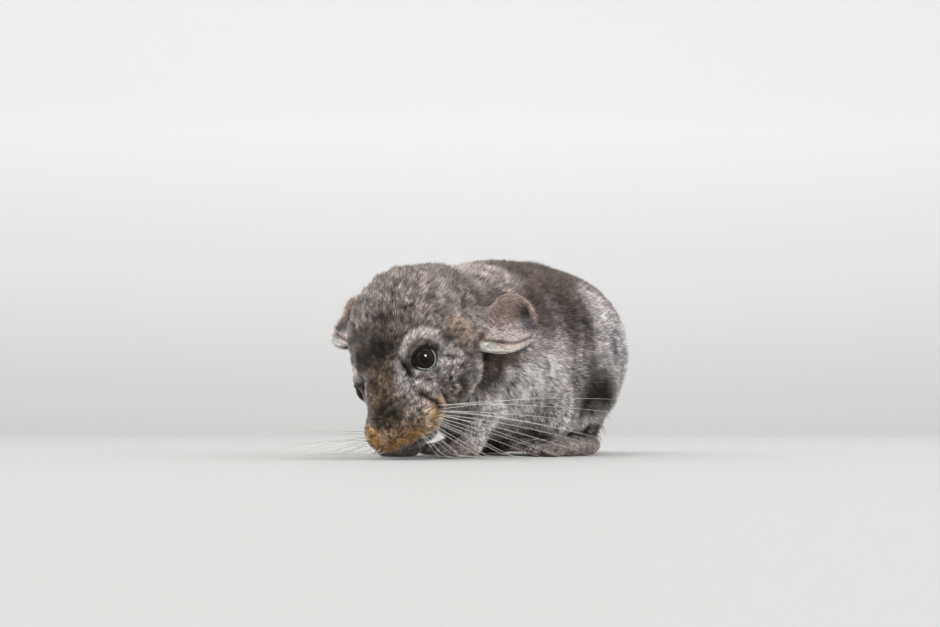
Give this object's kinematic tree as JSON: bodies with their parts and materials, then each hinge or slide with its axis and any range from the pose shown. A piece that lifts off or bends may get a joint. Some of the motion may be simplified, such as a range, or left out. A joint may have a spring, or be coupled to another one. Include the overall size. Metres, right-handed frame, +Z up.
{
  "type": "chinchilla",
  "caption": "Life-size grey chinchilla standing on all fours with its head lowered, ears back and bushy tail laid beside it.",
  "frame": {"origin": "on the floor, at the centre of the bounding box seen from above", "axes": "+Z up, the body runs along Y with the head towards -Y, the animal's left side is towards +X"},
  "size_m": [0.2356, 0.2738, 0.0977],
  "materials": {
    "grey_fur": "dense plush fur",
    "tail_fur": "long bristly fur",
    "ear_skin": "thin bare skin",
    "eye_gloss": "wet and glossy",
    "paw_skin": "soft skin under thin hair"
  },
  "bodies": {
    "root": {"torso": "grey_fur", "neck": "grey_fur", "head": "grey_fur", "whisker_pad_left": "grey_fur", "whisker_pad_right": "grey_fur", "eye_left": "eye_gloss", "eye_right": "eye_gloss", "ear_left": "ear_skin", "ear_right": "ear_skin", "thigh_left": "grey_fur", "thigh_right": "grey_fur", "foreleg_left": "grey_fur", "foreleg_right": "grey_fur", "hind_foot_left": "paw_skin", "hind_foot_right": "paw_skin", "forepaw_left": "paw_skin", "forepaw_right": "paw_skin", "tail": "tail_fur", "tail_end": "tail_fur"}
  },
  "joints": []
}
